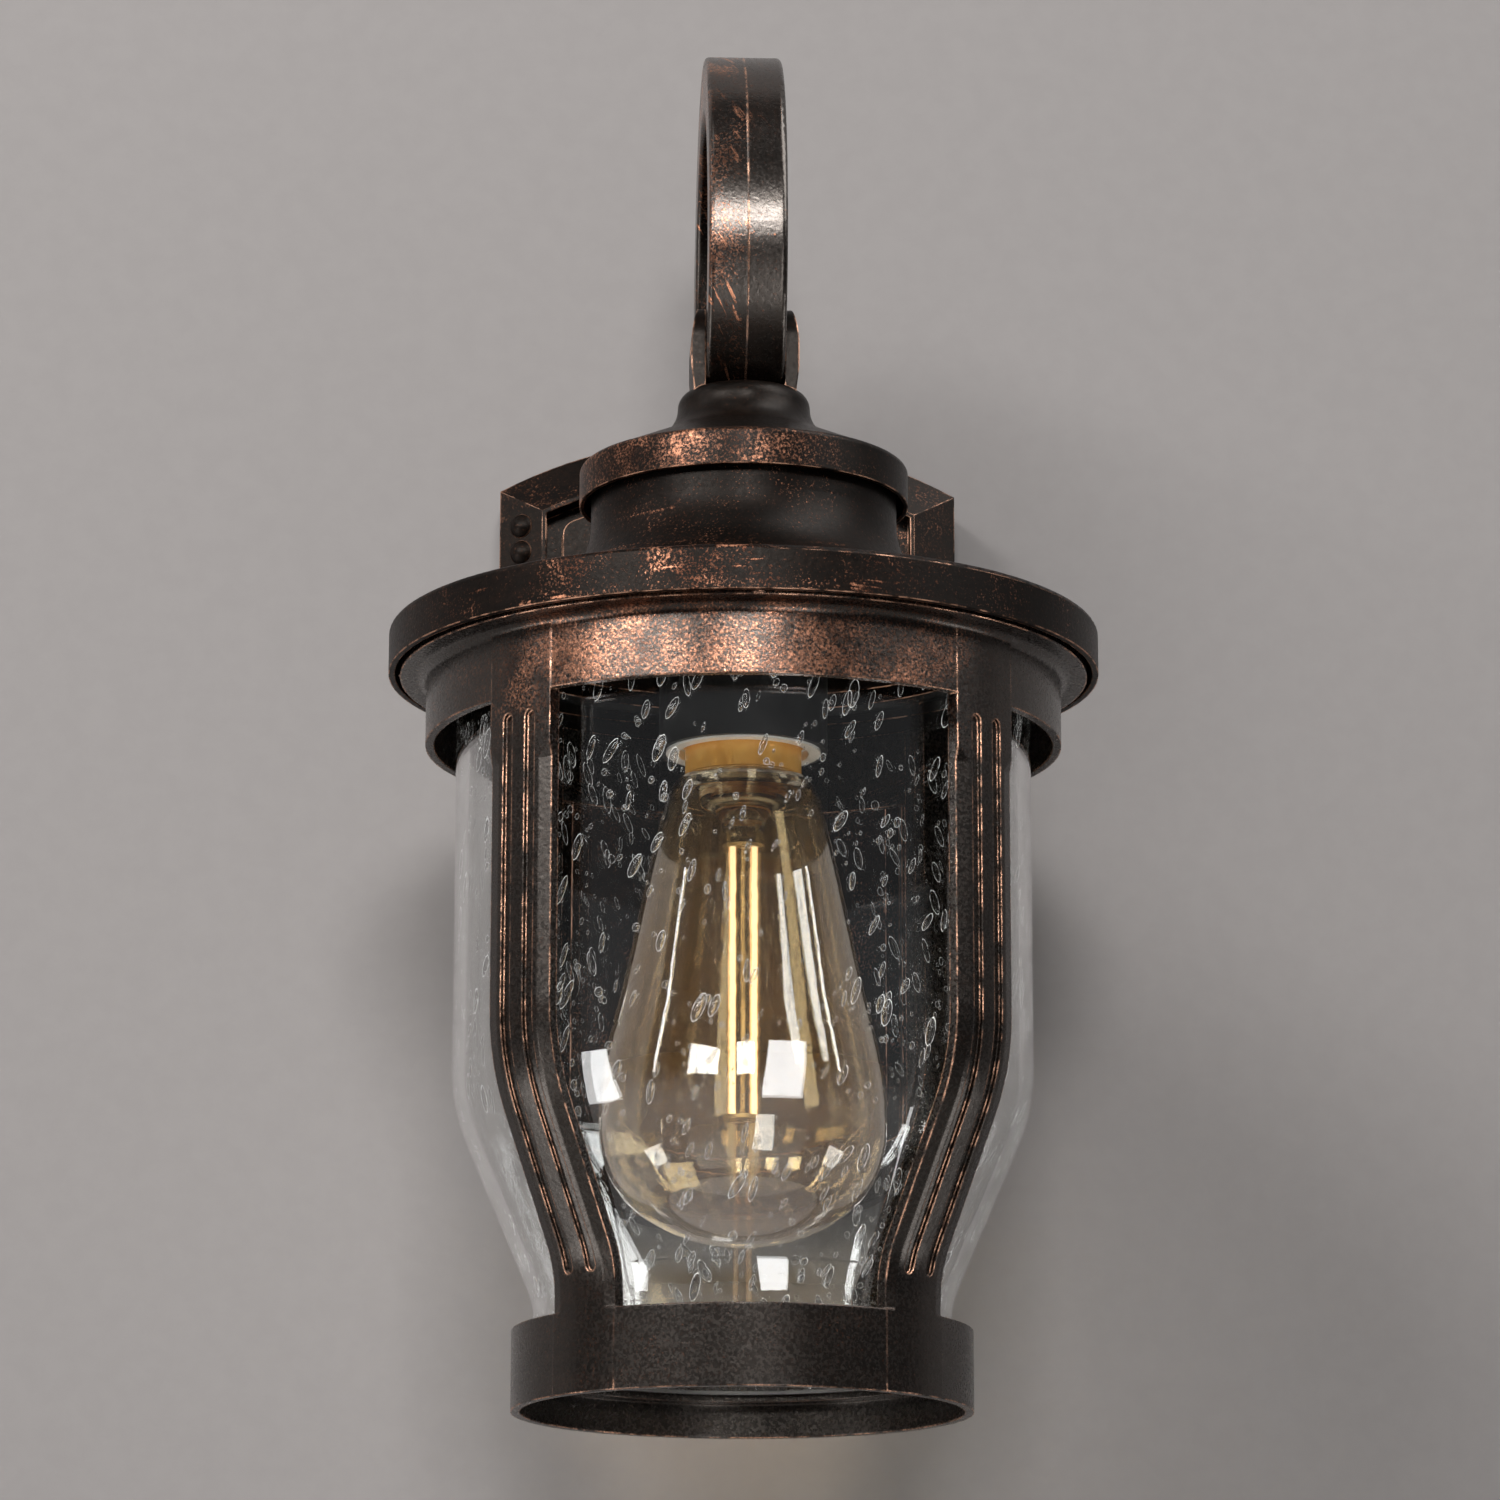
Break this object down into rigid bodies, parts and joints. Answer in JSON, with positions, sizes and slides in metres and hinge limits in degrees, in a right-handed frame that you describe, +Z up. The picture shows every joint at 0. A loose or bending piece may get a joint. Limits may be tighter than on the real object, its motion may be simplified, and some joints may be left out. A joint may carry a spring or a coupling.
{
  "type": "outdoor wall lantern",
  "caption": "Wall lantern with an open-bottomed seeded-glass shade in a ribbed cage, brimmed cap, crook arm on an arched backplate, and a screw-in filament bulb.",
  "frame": {"origin": "wall plane at the centre of the backplate, on the wall strap's back face", "axes": "+Y into the wall, +Z up, +X to the right of someone facing the lantern"},
  "size_m": [0.16, 0.192, 0.3215],
  "materials": {
    "bronze_cage": "satin oil-rubbed bronze with copper-rubbed edges",
    "bronze_cap": "satin oil-rubbed bronze with copper-rubbed edges",
    "bronze_upper": "satin oil-rubbed bronze with copper-rubbed edges",
    "bronze_arm": "satin oil-rubbed bronze with copper-rubbed edges",
    "bronze_plate": "satin oil-rubbed bronze with copper-rubbed edges",
    "bronze_fasteners": "satin oil-rubbed bronze",
    "seeded_glass": "clear glass with seeds",
    "clear_gasket": "translucent silicone",
    "black_rubber": "matt",
    "zinc_steel": "zinc plated",
    "green_screw": "green dyed",
    "socket_black": "satin",
    "porcelain": "glazed",
    "socket_brass": "bright",
    "lead_black": "smooth",
    "lead_white": "smooth",
    "bulb_glass": "clear, faint amber",
    "base_brass": "bright",
    "base_insulator": "black glass",
    "solder": "dull",
    "stem_glass": "clear",
    "mount_wire": "bright",
    "filament": "phosphor coated"
  },
  "bodies": {
    "fixture": {"cage": "bronze_cage", "join_screws": "bronze_fasteners", "glass_shade": "seeded_glass", "glass_seat": "clear_gasket", "glass_top_gasket": "black_rubber", "cap_body": "bronze_cap", "upper_cap": "bronze_upper", "clevis_pin": "bronze_fasteners", "arm_right": "bronze_arm", "arm_left": "bronze_arm", "arm_screws": "zinc_steel", "backplate": "bronze_plate", "plate_rivets": "bronze_plate", "wall_gasket": "black_rubber", "wall_strap": "zinc_steel", "ground_screw": "green_screw", "side_screws": "bronze_fasteners", "nipple": "zinc_steel", "hex_nuts": "zinc_steel", "socket_cup": "socket_black", "porcelain": "porcelain", "socket_screws": "zinc_steel", "screw_shell": "socket_brass", "centre_contact": "socket_brass", "lead_live": "lead_black", "lead_neutral": "lead_white"},
    "lamp_tip": {"base_tip": "solder"},
    "lamp": {"bulb_glass": "bulb_glass", "bulb_base": "base_brass", "base_insulator": "base_insulator", "bulb_stem": "stem_glass", "bulb_mount": "mount_wire", "bulb_strands": "filament"}
  },
  "joints": [
    {"name": "lamp_drop", "type": "slide", "parent": "fixture", "child": "lamp_tip", "axis": [0, 0, -1], "range_m": [0, 0.01455]},
    {"name": "lamp_turn", "type": "hinge", "parent": "lamp_tip", "child": "lamp", "pos_m": [0, -0.112, 0], "axis": [0, 0, -1], "range_deg": [0, 1440]}
  ],
  "couplings": [
    {"joint": "lamp_drop", "follows": "lamp_turn", "m_per_rad": 0.00057751}
  ]
}
